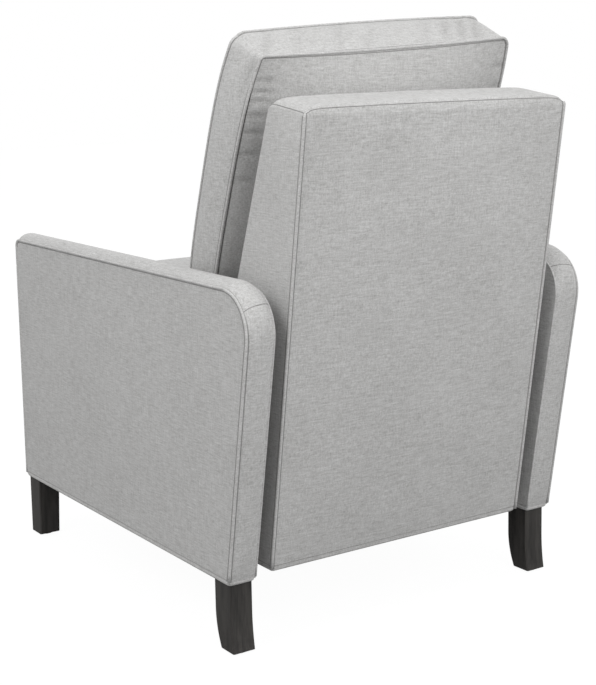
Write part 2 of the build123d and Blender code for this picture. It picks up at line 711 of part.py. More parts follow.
def make_footrest():
    """Footrest board, pad, brackets and screws."""
    board_back = footrest_board_front + footrest_board_thick
    board_heights = (footrest_bottom + footrest_board_inset, footrest_top - footrest_board_inset)
    board = block((-footrest_half, footrest_half), (footrest_board_front, board_back), board_heights)
    web_face = bar(pivot_pad_upper, pivot_pad_lower, link_width)
    web_low = pivot_pad_lower[1] - bracket_web_margin
    web_high = pivot_pad_upper[1] + link_width / 2
    web_face += make_face(Polyline(
        (board_back, web_low), (pivot_pad_lower[0], web_low),
        (pivot_pad_upper[0], web_high), (board_back, web_high), close=True).edges())
    web_face -= Pos(*pivot_pad_upper) * Circle(pin_radius + pin_gap)
    web_face -= Pos(*pivot_pad_lower) * Circle(pin_radius + open_pivot_gap)
    flange_x = (plane_drive + steel - bracket_flange_width, plane_drive + steel)
    flange_z = (board_heights[0] + bracket_flange_margin, board_heights[1] - bracket_flange_margin / 2)
    bracket = side_solid(web_face, plane_drive, steel)
    bracket += block(flange_x, (board_back, board_back + steel), flange_z)
    screws = []
    screw_x = flange_x[0] + bracket_flange_width * footrest_screw_share
    screw_space = (flange_z[1] - flange_z[0]) / (footrest_screw_count + 1)
    for place in range(footrest_screw_count):
        screw_z = flange_z[0] + (place + 1) * screw_space
        at = Pos(screw_x, board_back + steel, screw_z) * Rot(90, 0, 0)
        shank = at * Cylinder(footrest_screw_radius, footrest_screw_length,
                              align=(Align.CENTER, Align.CENTER, Align.MIN))
        hole = at * Cylinder(footrest_screw_radius + pin_gap, footrest_screw_length + fit_gap,
                             align=(Align.CENTER, Align.CENTER, Align.MIN))
        head = at * Cylinder(2 * footrest_screw_radius, rivet_head,
                             align=(Align.CENTER, Align.CENTER, Align.MAX))
        screws.append(shank + head)
        bracket -= hole
        board = board - hole - other_side(hole)
    keep("footrest_board", board)
    keep_pair("footrest_bracket", bracket)
    keep_both("footrest_screws", screws)
    pad_rear = footrest_board_front - fit_gap
    pad_front = pad_rear - footrest_pad_edge
    middle = (footrest_bottom + footrest_top) / 2
    half = (footrest_top - footrest_bottom) / 2
    place_shares = (-1, -footrest_pad_end_share, 0, footrest_pad_end_share, 1)
    crown_shares = (footrest_pad_edge_share, footrest_pad_end_share, 1,
                    footrest_pad_end_share, footrest_pad_edge_share)
    keep("footrest_pad", loft([
        Pos(0, 0, middle + half * place_share) * pillow_section(
            footrest_half - footrest_pad_inset, pad_front, pad_rear,
            footrest_pad_crown * crown_share, 0, footrest_pad_bulge)
        for place_share, crown_share in zip(place_shares, crown_shares)]))


make_arms()
make_legs()
make_base()
make_swing_links()
make_seat_plates()
make_seat_box()
make_seat_cushion()
make_back()
make_back_cushion()
make_footrest_links()
make_footrest()

# The origin goes below the middle of the whole chair, on the floor
boxes = [shape.bounding_box() for shape in nodes.values()]
middle_y = (min(box.min.Y for box in boxes) + max(box.max.Y for box in boxes)) / 2
for name, shape in nodes.items():
    export_step(Pos(0, -middle_y, 0) * shape, "parts/" + name + ".step")
print("nodes", len(nodes), "middle at y =", round(middle_y, 3))
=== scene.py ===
# %% [markdown]
# The imported model comes in first. Every piece made below rides on one of its bodies, so the
# chair can still open its footrest and recline.

# %% Load the imported chair
import json
import math
import bmesh
import bpy
from mathutils import Matrix, Vector
from mathutils.bvhtree import BVHTree


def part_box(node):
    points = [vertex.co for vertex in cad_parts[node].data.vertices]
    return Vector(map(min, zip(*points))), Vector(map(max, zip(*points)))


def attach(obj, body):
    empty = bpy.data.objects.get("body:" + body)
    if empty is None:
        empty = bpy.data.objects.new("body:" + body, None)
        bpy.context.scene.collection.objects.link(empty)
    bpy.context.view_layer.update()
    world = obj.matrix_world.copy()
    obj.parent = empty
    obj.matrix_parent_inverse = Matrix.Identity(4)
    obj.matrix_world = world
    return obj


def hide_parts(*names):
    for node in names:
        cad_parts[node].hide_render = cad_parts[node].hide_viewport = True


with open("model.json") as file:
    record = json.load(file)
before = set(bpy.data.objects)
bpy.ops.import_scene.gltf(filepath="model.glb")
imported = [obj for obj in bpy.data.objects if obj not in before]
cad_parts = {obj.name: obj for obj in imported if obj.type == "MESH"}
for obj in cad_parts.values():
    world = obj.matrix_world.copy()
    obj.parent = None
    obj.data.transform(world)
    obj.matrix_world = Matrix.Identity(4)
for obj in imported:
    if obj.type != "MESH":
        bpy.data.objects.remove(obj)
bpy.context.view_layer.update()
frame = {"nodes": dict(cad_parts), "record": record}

# %% [markdown]
# Heights are measured from the floor, and depths from the front of the arms, because that is
# how a chair maker draws a side view. The helper turns such a depth into the scene's Y.

# %% Where the front of the arms is
arm_low, arm_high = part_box("arm_cover_left")
arm_outer = arm_high.x
arm_inner = arm_low.x
hem_height = arm_low.z


def from_front(depth):
    """Scene Y of a point that lies some way behind the front of the arms."""
    return arm_low.y + depth


print("arm from", round(arm_inner, 3), "to", round(arm_outer, 3), "hem at", round(hem_height, 3))

# %% [markdown]
# A material is a small network of nodes. The helpers below make a node, link it and set its
# sockets in one line, so that each finish further down reads as a short recipe.

# %% Helpers for materials


def new_finish(name):
    """An empty material with its output and one Principled shader."""
    material = bpy.data.materials.new(name)
    material.use_nodes = True
    nodes = material.node_tree.nodes
    nodes.clear()
    shader = nodes.new("ShaderNodeBsdfPrincipled")
    output = nodes.new("ShaderNodeOutputMaterial")
    material.node_tree.links.new(shader.outputs["BSDF"], output.inputs["Surface"])
    return material, shader


def add_node(owner, kind, **settings):
    """One node of a material or a world, with its settings and unlinked sockets set by name."""
    node = owner.node_tree.nodes.new(kind)
    for key, value in settings.items():
        if hasattr(node, key):
            setattr(node, key, value)
        else:
            node.inputs[key.replace("_", " ").title()].default_value = value
    return node


def join(owner, out_socket, in_socket):
    """A link between two sockets."""
    owner.node_tree.links.new(out_socket, in_socket)


def stretched_noise(material, scale, detail=2.0):
    """Noise on Object coordinates, drawn out along the axes whose scale is small."""
    place = add_node(material, "ShaderNodeTexCoord")
    stretch = add_node(material, "ShaderNodeMapping")
    stretch.inputs["Scale"].default_value = scale
    noise = add_node(material, "ShaderNodeTexNoise", scale=1.0, detail=detail)
    noise.inputs["Roughness"].default_value = 0.6
    join(material, place.outputs["Object"], stretch.inputs["Vector"])
    join(material, stretch.outputs["Vector"], noise.inputs["Vector"])
    return noise.outputs["Fac"]


def blend_values(owner, operation, first, second):
    """A Math node between two sockets, or between a socket and a number."""
    node = add_node(owner, "ShaderNodeMath", operation=operation)
    for socket, value in zip(node.inputs, (first, second)):
        if isinstance(value, (int, float)):
            socket.default_value = value
        else:
            join(owner, value, socket)
    return node.outputs[0]


def ramp(material, factor, stops):
    """A colour ramp with its stops given as (place, colour)."""
    node = add_node(material, "ShaderNodeValToRGB")
    elements = node.color_ramp.elements
    while len(elements) < len(stops):
        elements.new(0.5)
    for element, (place, colour) in zip(elements, stops):
        element.position = place
        element.color = (*colour, 1.0)
    join(material, factor, node.inputs["Fac"])
    return node.outputs["Color"]


def raise_surface(material, shader, height, distance, strength=1.0):
    """Bump from a height socket, in metres at full white."""
    bump = add_node(material, "ShaderNodeBump", distance=distance, strength=strength)
    join(material, height, bump.inputs["Height"])
    join(material, bump.outputs["Normal"], shader.inputs["Normal"])


print("material helpers ready")

# %% [markdown]
# The cover is a linen weave: pale yarns of uneven thickness cross each other, and thicker
# stretches, called slubs, show as short light and dark dashes along both directions. Three
# noises do this, one drawn out along each axis. On any face of the chair two of them run in
# the cloth and the third one meets it end on, which gives the fine speckle of mixed yarn.

# %% Linen weave
along_yarn, across_yarn = 48.0, 440.0
yarn_share, speckle_share, cloud_share, painted_shade_share = 0.37, 0.26, 0.10, 0.08


def linen(name, dark, mid, light, relief=0.00045):
    """Heathered linen in three tones of grey."""
    material, shader = new_finish(name)
    along_x = stretched_noise(material, (along_yarn, across_yarn, across_yarn))
    along_y = stretched_noise(material, (across_yarn, along_yarn, across_yarn))
    along_z = stretched_noise(material, (across_yarn, across_yarn, along_yarn))
    level = blend_values(material, "ADD", along_x, along_y)
    level = blend_values(material, "MULTIPLY", level, yarn_share)
    speckle = blend_values(material, "MULTIPLY", along_z, speckle_share)
    yarns = blend_values(material, "ADD", level, speckle)
    cloud = stretched_noise(material, (7.0, 7.0, 7.0), detail=3.0)
    cloud = blend_values(material, "SUBTRACT", cloud, 0.5)
    cloud = blend_values(material, "MULTIPLY", cloud, cloud_share)
    # Painted shade: the fold depth attribute darkens the linen inside tucks and creases.
    painted_fold_shade = add_node(material, "ShaderNodeAttribute", attribute_name="painted_fold_shade")
    shade = blend_values(material, "MULTIPLY", painted_fold_shade.outputs["Fac"], painted_shade_share)
    tone = blend_values(material, "SUBTRACT", blend_values(material, "ADD", yarns, cloud), shade)
    colour = ramp(material, tone, [(0.325, dark), (0.50, mid), (0.675, light)])
    join(material, colour, shader.inputs["Base Color"])
    shader.inputs["Roughness"].default_value = 0.92
    shader.inputs["Specular IOR Level"].default_value = 0.18
    shader.inputs["Sheen Weight"].default_value = 0.12
    shader.inputs["Sheen Roughness"].default_value = 0.5
    weave = stretched_noise(material, (900.0, 900.0, 900.0), detail=1.0)
    weave = blend_values(material, "MULTIPLY", weave, 0.35)
    raise_surface(material, shader, blend_values(material, "ADD", yarns, weave), relief)
    return material


cover_linen = linen("cover_linen", (0.35, 0.346, 0.339), (0.51, 0.507, 0.501),
                    (0.65, 0.649, 0.645))
welt_linen = linen("welt_linen", (0.36, 0.356, 0.350), (0.52, 0.517, 0.511),
                   (0.66, 0.659, 0.655), relief=0.0002)
print("cloth", cover_linen.name, welt_linen.name)

# %% [markdown]
# The legs are hardwood under an espresso stain. The grain runs up the leg, so the noise is
# drawn out along Z, and it only just shows through the stain. The same recipe in a pale tone
# gives the raw boards of the frame.

# %% Stained legs and raw timber


def timber(name, dark, light, scale, roughness, coat):
    """Wood with its grain along the axis whose scale is small."""
    material, shader = new_finish(name)
    grain = stretched_noise(material, scale, detail=5.0)
    pores = stretched_noise(material, tuple(4 * value for value in scale), detail=2.0)
    figure = blend_values(material, "ADD", grain, blend_values(material, "MULTIPLY", pores, 0.3))
    stain = ramp(material, figure, [(0.45, dark), (0.80, light)])
    join(material, stain, shader.inputs["Base Color"])
    worn = ramp(material, grain, [(0.3, (roughness - 0.08,) * 3), (0.7, (roughness + 0.1,) * 3)])
    join(material, worn, shader.inputs["Roughness"])
    shader.inputs["Coat Weight"].default_value = coat
    shader.inputs["Coat Roughness"].default_value = 0.35
    raise_surface(material, shader, figure, 0.0004, 0.4)
    return material


raw_dark, raw_light = (0.42, 0.30, 0.18), (0.66, 0.50, 0.33)
espresso = timber("espresso_legs", (0.014, 0.0125, 0.0113), (0.043, 0.0395, 0.036),
                  (90.0, 90.0, 6.0), 0.50, 0.08)
raw_side = timber("raw_boards_along_x", raw_dark, raw_light, (5.0, 80.0, 80.0), 0.7, 0.0)
raw_deep = timber("raw_boards_along_y", raw_dark, raw_light, (80.0, 5.0, 80.0), 0.7, 0.0)
print("timber", espresso.name, raw_side.name, raw_deep.name)

# %% [markdown]
# The links of the mechanism are stamped steel with a black enamel, a little cloudy and
# scuffed where they rub. Rivets, screws and bolts are zinc plated, with a dull grey bloom.

# %% Steel, zinc, nylon, the cloths that line the chair and the painted shade of seams


def metal(name, dark, light, metallic, roughness, scale=60.0):
    """Metal with clouds in its colour and in its gloss."""
    material, shader = new_finish(name)
    cloud = stretched_noise(material, (scale,) * 3, detail=4.0)
    scuff = stretched_noise(material, (scale * 9, scale, scale * 5), detail=3.0)
    colour = ramp(material, cloud, [(0.3, dark), (0.75, light)])
    join(material, colour, shader.inputs["Base Color"])
    gloss = ramp(material, scuff, [(0.35, (roughness - 0.1,) * 3), (0.7, (roughness + 0.15,) * 3)])
    join(material, gloss, shader.inputs["Roughness"])
    shader.inputs["Metallic"].default_value = metallic
    raise_surface(material, shader, scuff, 0.0001, 0.3)
    return material


def lining(name, dark, light, scale):
    """Plain lining cloth or felt, with its threads along two axes; in dark tones it also gives
    painted shade.
    """
    material, shader = new_finish(name)
    threads_and_seam_shade = blend_values(material, "ADD", stretched_noise(material, (scale, 30.0, scale)),
                           stretched_noise(material, (30.0, scale, scale)))
    tone = blend_values(material, "MULTIPLY", threads_and_seam_shade, 0.5)
    join(material, ramp(material, tone, [(0.35, dark), (0.65, light)]), shader.inputs["Base Color"])
    shader.inputs["Roughness"].default_value = 0.95
    raise_surface(material, shader, tone, 0.0005)
    return material


black_enamel = metal("black_enamel", (0.012, 0.012, 0.013), (0.03, 0.03, 0.032), 0.0, 0.38)
zinc = metal("zinc_plate", (0.45, 0.45, 0.44), (0.66, 0.66, 0.64), 1.0, 0.38, 140.0)
spring_wire = metal("spring_wire", (0.14, 0.14, 0.145), (0.30, 0.30, 0.31), 1.0, 0.42, 90.0)
nylon = metal("nylon_glide", (0.02, 0.02, 0.02), (0.05, 0.05, 0.05), 0.0, 0.55, 120.0)
dust_cover = lining("dust_cover", (0.015, 0.015, 0.015), (0.045, 0.045, 0.045), 600.0)
webbing = lining("jute_webbing", (0.16, 0.13, 0.09), (0.36, 0.31, 0.23), 380.0)
felt = lining("deck_felt", (0.50, 0.48, 0.44), (0.72, 0.70, 0.66), 240.0)
# Painted shade: dark tones for thin cords that stand in for the shade in seams and in a crevice.
deep_shade = lining("deep_shade", (0.05, 0.048, 0.046), (0.10, 0.098, 0.095), 500.0)
seam_shade = lining("seam_shade", (0.23, 0.227, 0.223), (0.33, 0.327, 0.321), 500.0)
print("finishes", len(bpy.data.materials))

# %% [markdown]
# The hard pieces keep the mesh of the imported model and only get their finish. Which finish a
# node gets follows from the slot that the record gives it. Boards that run to the rear take
# the grain along Y, and the others take it along X.

# %% Finish the hard pieces
finish_of_slot = {
    "leg_wood": espresso, "nylon": nylon, "zinc_steel": zinc, "black_steel": black_enamel,
    "dust_cover": dust_cover, "webbing": webbing, "felt": felt, "spring_steel": spring_wire,
    "timber": raw_side, "linen_fabric": cover_linen,
}
boards_to_the_rear = ("seat_side_rail_left", "seat_side_rail_right",
                      "arm_frame_left", "arm_frame_right")
for entry in frame["record"]["subparts"]:
    piece = frame["nodes"][entry["node"]]
    finish = finish_of_slot[entry["material_slot"]]
    if entry["node"] in boards_to_the_rear:
        finish = raw_deep
    piece.data.materials.clear()
    piece.data.materials.append(finish)

# %% [markdown]
# Each upholstered form starts as one flat face with rounded corners, the outline of a side
# view. Beveling a corner point rounds it: the bevel starts its radius divided by the tangent
# of half the corner's angle away from the point.

# %% An outline with rounded corners
outline_run = 0.02
corner_segments = 14


def rounded_outline(mesh, corners, radii, x):
    """One face in the YZ plane at x, with its long edges divided and its corners rounded."""
    points = [mesh.verts.new((x, y, z)) for y, z in corners]
    count = len(points)
    face = mesh.faces.new(points)
    starts = []
    for place, radius in enumerate(radii):
        before = (points[place - 1].co - points[place].co).normalized()
        after = (points[(place + 1) % count].co - points[place].co).normalized()
        starts.append(radius / math.tan(before.angle(after) / 2))
    for point, start in zip(points, starts):
        if start > 0:
            bmesh.ops.bevel(mesh, geom=[point], offset=start, offset_type="OFFSET",
                            affect="VERTICES", segments=corner_segments, profile=0.5, material=-1)
    for edge in [edge for edge in mesh.edges if edge.calc_length() > 2 * outline_run]:
        cuts = int(edge.calc_length() // outline_run) - 1
        bmesh.ops.subdivide_edges(mesh, edges=[edge], cuts=cuts)
    mesh.faces.ensure_lookup_table()
    return mesh.faces[0]


def finish_piece(name, mesh, body, finish, smooth_angle=50):
    """Turns a bmesh into a scene object that rides on a body, with its faces outwards."""
    bmesh.ops.recalc_face_normals(mesh, faces=mesh.faces)
    if mesh.calc_volume(signed=True) < 0:
        bmesh.ops.reverse_faces(mesh, faces=mesh.faces)
    data = bpy.data.meshes.new(name)
    mesh.to_mesh(data)
    mesh.free()
    piece = bpy.data.objects.new(name, data)
    bpy.context.collection.objects.link(piece)
    data.materials.append(finish)
    data.shade_smooth()
    data.set_sharp_from_angle(angle=math.radians(smooth_angle))
    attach(piece, body)
    return piece


def round_corner(first, second, half_first, half_second, radius):
    """Moves a point of a rectangle so that the rectangle's corners are round."""
    over_first = abs(first) - (half_first - radius)
    over_second = abs(second) - (half_second - radius)
    if over_first > 0 and over_second > 0:
        pull = max(over_first, over_second) / math.hypot(over_first, over_second)
        first = math.copysign(half_first - radius + over_first * pull, first)
        second = math.copysign(half_second - radius + over_second * pull, second)
    return first, second


print("outline helpers ready")

# %% [markdown]
# Piping is a cord inside a folded strip of the cover cloth, sewn into the seam. It is made as
# a thin curve along the seam with a round bevel, and then turned into a mesh like every other
# piece.

# %% Piping along a seam
welt_radius = 0.0026


def piping(name, lines, body, radius=welt_radius, finish=welt_linen, closed=False):
    """Round cords along lists of points, as one piece."""
    curve = bpy.data.curves.new(name, "CURVE")
    curve.dimensions = "3D"
    curve.bevel_depth = radius
    curve.bevel_resolution = 3
    curve.use_fill_caps = not closed
    for line in lines:
        spline = curve.splines.new("POLY")
        spline.points.add(len(line) - 1)
        for point, place in zip(spline.points, line):
            point.co = (*place, 1.0)
        spline.use_cyclic_u = closed
    helper = bpy.data.objects.new(name + "_path", curve)
    bpy.context.collection.objects.link(helper)
    swept = helper.evaluated_get(bpy.context.evaluated_depsgraph_get())
    data = bpy.data.meshes.new_from_object(swept)
    bpy.data.objects.remove(helper)
    data.name = name
    mesh = bmesh.new()
    mesh.from_mesh(data)
    bmesh.ops.remove_doubles(mesh, verts=mesh.verts, dist=0.000001)
    bmesh.ops.recalc_face_normals(mesh, faces=mesh.faces)
    mesh.to_mesh(data)
    mesh.free()
    piece = bpy.data.objects.new(name, data)
    bpy.context.collection.objects.link(piece)
    data.materials.clear()
    data.materials.append(finish)
    data.shade_smooth()
    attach(piece, body)
    return piece


print("piping radius", welt_radius)

# %% [markdown]
# A padded slab is the outline pulled out along X. The band between its two sides is divided,
# and each of its points is pushed out along its own direction in the side view, most in the
# middle: that is the crown that padding gives a band. Narrow insets lift each side a little
# off its seam, and the last of them lies flat, so that the large face inside shades evenly.

# %% A padded slab


def slab(mesh, corners, radii, x_start, x_end, crown, rings, rims=(), spread=1.0):
    """Outline pulled out along X with a crowned band; spread draws its rings to the seams."""
    face = rounded_outline(mesh, corners, radii, x_start)
    pulled = bmesh.ops.extrude_face_region(mesh, geom=[face], use_keep_orig=True)
    far = [item for item in pulled["geom"] if isinstance(item, bmesh.types.BMVert)]
    bmesh.ops.translate(mesh, verts=far, vec=(x_end - x_start, 0, 0))
    bmesh.ops.recalc_face_normals(mesh, faces=mesh.faces)
    across = [edge for edge in mesh.edges
              if abs(edge.verts[0].co.x - edge.verts[1].co.x) > 0.001]
    bmesh.ops.subdivide_edges(mesh, edges=across, cuts=rings)
    middle, half = (x_start + x_end) / 2, abs(x_end - x_start) / 2
    for point in mesh.verts:
        offset = (point.co.x - middle) / half
        drawn = half * (1 - max(0, 1 - abs(offset)) ** spread)
        point.co.x = middle + math.copysign(drawn, offset)
    mesh.normal_update()
    moves = []
    for point in mesh.verts:
        share = (point.co.x - x_start) / (x_end - x_start)
        if 0.001 < share < 0.999:
            out = Vector((0, point.normal.y, point.normal.z)).normalized()
            moves.append((point, crown(share, out, point.co)))
    for point, move in moves:
        point.co += move
    sides = [face for face in mesh.faces if abs(face.normal.x) > 0.9 and len(face.verts) > 8]
    for side in sides:
        for inset, lift in rims:
            bmesh.ops.inset_region(mesh, faces=[side], thickness=inset, depth=lift)


def ring_at(corners, radii, x):
    """Points of the outline at x, in order round the face."""
    helper = bmesh.new()
    face = rounded_outline(helper, corners, radii, x)
    points = [point.co.copy() for point in face.verts]
    helper.free()
    return points


print("slab helper ready")

# %% [markdown]
# A seam is a dip in the cloth with thread at its bottom, and on a pale cover its shade reads as
# a thin dark line. That shade is painted: a thin dark cord is drawn roughly where it runs and then
# laid on the cover, where each of its points moves to the nearest place of the surface. A welt has
# one such dip along either side.

# %% Painted seam shade on a cover
seam_radius = 0.0007
dip_offset, dip_reach = 0.0037, 0.0054


def lay_on(piece, points):
    """The nearest places on the surface of a piece."""
    surface = BVHTree.FromPolygons([point.co for point in piece.data.vertices],
                                   [face.vertices for face in piece.data.polygons])
    return [surface.find_nearest(point)[0] for point in points]


def drawn_in(points, depth):
    """A line in a side view moved towards the middle of the form, which lies at a given Y."""
    centre = Vector((points[0].x, depth, sum(point.z for point in points) / len(points)))
    moved = []
    for place, point in enumerate(points):
        run = points[min(place + 1, len(points) - 1)] - points[max(place - 1, 0)]
        run.normalize()
        aim = centre - point
        aim -= run * aim.dot(run)
        aim.normalize()
        moved.append(point + Vector((0, aim.y * dip_reach, aim.z * dip_offset)))
    return moved


def seam_shades_beside(piece, line, towards_middle, depth):
    """The two thin cords of painted shade in the dips of a welt: on the side panel and on the band.
    """
    panel = lay_on(piece, drawn_in(line, depth))
    band = lay_on(piece, [point + Vector((towards_middle * dip_offset, 0, 0)) for point in line])
    return [panel, band]


def hem_loop(x_low, x_high, y_low, y_high, z, radius=0.0035):
    """A level rectangle with round corners, as the path of a rolled hem."""
    helper = bmesh.new()
    corners = [(x_low, y_low), (x_high, y_low), (x_high, y_high), (x_low, y_high)]
    helper.faces.new([helper.verts.new((x, y, z)) for x, y in corners])
    bmesh.ops.bevel(helper, geom=list(helper.verts), offset=radius, offset_type="OFFSET",
                    affect="VERTICES", segments=6, profile=0.5, material=-1)
    helper.faces.ensure_lookup_table()
    points = [point.co.copy() for point in helper.faces[0].verts]
    helper.free()
    return points


print("seam helpers ready")

# %% [markdown]
# The arm is a frame under a padded cover. The outer panel is flat, and its top edge lies lower
# than the middle of the arm, because the top band is crowned between its two rows of piping.
# Down the rear the band is flatter, and a seam crosses it below the rear corner.

# %% Shape of an arm
arm_crest = 0.634
arm_welt_height = 0.6215
inner_welt_radius = 0.0018
rear_lean = math.radians(10)
hem_radius = 0.0052
hem_overlap = 0.001
cover_foot = hem_height + hem_radius
above_foot = cover_foot + 0.001
welt_foot = cover_foot + 0.003
arm_hem_depth = 0.812
arm_front, arm_hem_rear = from_front(0.003), from_front(arm_hem_depth)
arm_rear_depth = arm_hem_depth + (arm_welt_height - hem_height) * math.tan(rear_lean)
arm_corners = [(arm_front, cover_foot), (arm_front, arm_welt_height),
               (from_front(arm_rear_depth), arm_welt_height), (arm_hem_rear, cover_foot)]
arm_radii = [0.0, 0.014, 0.072, 0.0]
band_seam_depth, band_seam_height = 0.8746, 0.5886
bow_forward, bow_up = 0.0054, 0.0078


def arm_crown(share, out, place):
    """Fullness of the band: high on top, lower down the rear, none below."""
    top = (arm_crest - arm_welt_height) * max(out.z, 0)
    fullness = top + 0.006 * max(out.y, 0) + 0.002 * max(-out.y, 0)
    above_hem = min(1, max(0, (place.z - cover_foot) / 0.03))
    return out * fullness * above_hem * (1 - abs(2 * share - 1) ** 2.4)


def arm_welt_line(x):
    """The seam along one edge of an arm, from its rear foot over the top to its front foot."""
    ring = ring_at(arm_corners, arm_radii, x)
    start = max(range(len(ring)),
                key=lambda place: (ring[place].z < above_foot) * ring[place].y)
    line = [point for point in ring[start:] + ring[:start] if point.z > above_foot]
    if line[0].y < line[-1].y:
        line.reverse()
    rear_end = Vector((x, arm_hem_rear + 0.0005, welt_foot))
    return [rear_end] + line + [Vector((x, arm_front, welt_foot))]


def arm_band_seam(sign):
    """The seam across the band, which rises and runs forward towards the inner side."""
    seam = []
    for share in [place / 14 for place in range(15)]:
        bow = 1 - (1 - share) ** 2
        seam.append(Vector((sign * (arm_outer + (arm_inner - arm_outer) * share),
                            from_front(band_seam_depth - bow_forward * bow),
                            band_seam_height + bow_up * bow)))
    return seam


print("arm welt points", len(arm_welt_line(arm_outer)))

# %% [markdown]
# Each arm is a padded slab with piping along the edges of both sides. Thin dark cords of
# painted shade lie in the dips beside the outer row, across the band and above the foot,
# which ends in a rolled hem. The arm is drawn once on the left and mirrored.

# %% Arm covers


def make_arm(side):
    """One arm cover with its piping, its rolled hem and its seams."""
    sign = 1 if side == "left" else -1
    mesh = bmesh.new()
    slab(mesh, arm_corners, arm_radii, sign * arm_inner, sign * arm_outer, arm_crown, rings=12,
         rims=[(0.003, 0.0004), (0.003, 0.0)], spread=1.3)
    cover = finish_piece("arm_upholstery_" + side, mesh, "base", cover_linen)
    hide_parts("arm_cover_" + side)
    outer_line, inner_line = arm_welt_line(sign * arm_outer), arm_welt_line(sign * arm_inner)
    piping("arm_piping_outer_" + side, [outer_line], "base")
    piping("arm_piping_inner_" + side, [inner_line], "base", radius=inner_welt_radius)
    # Painted shade lines: beside the outer welt, and across the band along its seam.
    welt_with_seam_shade = [point for point in outer_line
              if point.y > from_front(0.01) or point.z > arm_welt_height - 0.03]
    seam_shade_lines = seam_shades_beside(cover, welt_with_seam_shade, -sign, from_front(arm_hem_depth / 2))
    seam_shade_lines.append(lay_on(cover, arm_band_seam(sign)))
    inset = hem_radius - hem_overlap
    hem = hem_loop(sign * arm_inner + sign * inset, sign * arm_outer - sign * inset,
                   arm_front + inset, arm_hem_rear - inset, hem_height + hem_radius)
    piping("arm_hem_" + side, [hem], "base", radius=hem_radius, finish=cover_linen, closed=True)
    piping("arm_seam_shades_" + side, seam_shade_lines, "base", radius=seam_radius, finish=seam_shade)
    # Painted shade: a thin dark cord round the cover just above the rolled hem.
    hem_seam_shade_path = hem_loop(sign * arm_inner, sign * arm_outer, arm_front, arm_hem_rear,
                   hem_height + 2 * hem_radius, radius=0.002)
    piping("arm_hem_seam_shade_" + side, [hem_seam_shade_path], "base", radius=seam_radius, finish=seam_shade,
           closed=True)
    return cover


arm_covers = [make_arm(side) for side in ("left", "right")]
print("arm cover corners", [len(cover.data.vertices) for cover in arm_covers])

# %% [markdown]
# The outside back is a tall wedge of boards under a cover: a flat panel faces the rear with
# piping down both edges, and a band wraps the sides and the top. The form is pulled out along
# X like the arms, only much wider, and its crown gives the panel and the top a soft fullness.

# %% Outside back
_, back_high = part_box("back_cover")
back_half = back_high.x
back_foot, back_panel_top = 0.136, 0.906
back_rear_depth, back_rear_top = 0.9362, 0.900
back_front_depth, back_front_top = 0.8371, 0.914
back_top_depth, back_top_rise = 0.0991, 0.014
shoulder_radius = 0.007
back_corners = [
    (from_front(0.8138), back_foot), (from_front(back_rear_depth), back_rear_top),
    (from_front(back_front_depth), back_front_top), (from_front(0.658), 0.430),
    (from_front(0.668), 0.330), (from_front(0.761), back_foot),
]
back_radii = [0.0, 0.008, 0.018, 0.060, 0.060, 0.0]


def back_crown(share, out, place):
    """A soft fullness of the rear panel, most in its middle, and of the top."""
    height = min(1, max(0, (place.z - back_foot) / (back_panel_top - back_foot)))
    ends = abs(2 * share - 1)
    panel = 0.006 * max(out.y, 0) * (1 - abs(2 * height - 1) ** 4) * (1 - ends ** 4)
    rise = max(out.z, 0) * (0.010 * (1 - ends ** 22) + 0.002 * (1 - ends ** 2))
    return out * panel + Vector((0, 0, rise))


def rounded_shoulder(place):
    """The upper corners of the back, seen from the rear, are round."""
    ahead = place.y - from_front(back_front_depth)
    top = back_front_top - back_top_rise * ahead / back_top_depth
    across, up = round_corner(place.x, place.z - top + 1, back_half, 1, shoulder_radius)
    return Vector((across, place.y, min(up + top - 1, place.z)))


mesh = bmesh.new()
slab(mesh, back_corners, back_radii, -back_half, back_half, back_crown, rings=30,
     rims=[(0.002, 0.0003), (0.002, 0.0)], spread=1.7)
for point in mesh.verts:
    point.co = rounded_shoulder(point.co)
back_upholstery = finish_piece("back_upholstery", mesh, "back", cover_linen)
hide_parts("back_cover")
print("back cover points", len(back_upholstery.data.vertices))

# %% [markdown]
# Only the rear edge of each side carries piping, from the hem up to the top corner. From there
# a plain seam runs along the top to the front of the side, and another one along the top of
# the rear panel. The foot ends in a rolled hem. The shade in each seam, and above the hem, is
# painted as a thin dark cord.

# %% Piping, seams and hem of the outside back
back_welt_top = 0.8985
back_hem_height = 0.131
back_hem_front, back_hem_rear = from_front(0.763), from_front(0.813)


def in_rear_edge(point):
    """Whether a point of the side's outline belongs to its rear edge, below the top corner."""
    middle = from_front(0.80 + 0.16 * (point.z - back_foot))
    return point.y > middle and point.z < back_welt_top


# Painted shade: thin dark cords beside each welt, along each crest and along the top edge.
welts, seam_shade_lines = [], []
for x, inward in ((back_half, -1), (-back_half, 1)):
    rear = [point for point in ring_at(back_corners, back_radii, x) if in_rear_edge(point)]
    line = [rounded_shoulder(point) for point in sorted(rear, key=lambda point: point.z)]
    welts.append(line)
    seam_shade_lines += seam_shades_beside(back_upholstery, line, inward, from_front(0.70))
    crest = [Vector((x, from_front(back_rear_depth - back_top_depth * step / 12),
                     back_rear_top + back_top_rise * step / 12)) for step in range(13)]
    seam_shade_lines.append(lay_on(back_upholstery, crest))
top_edge = []
for step in range(41):
    point = Vector((back_half * (step - 20) / 20, from_front(back_rear_depth), back_rear_top))
    share = (point.x + back_half) / (2 * back_half)
    top_edge.append(point + back_crown(share, Vector((0, 0.7, 0.7)), point))
seam_shade_lines.append(lay_on(back_upholstery, top_edge))
piping("back_piping", welts, "back")
piping("back_seam_shades", seam_shade_lines, "back", radius=seam_radius, finish=seam_shade)
inset = hem_radius - hem_overlap
foot = hem_loop(-back_half + inset, back_half - inset, back_hem_front + inset,
                back_hem_rear - inset, back_hem_height + hem_radius)
piping("back_hem", [foot], "back", radius=hem_radius, finish=cover_linen, closed=True)
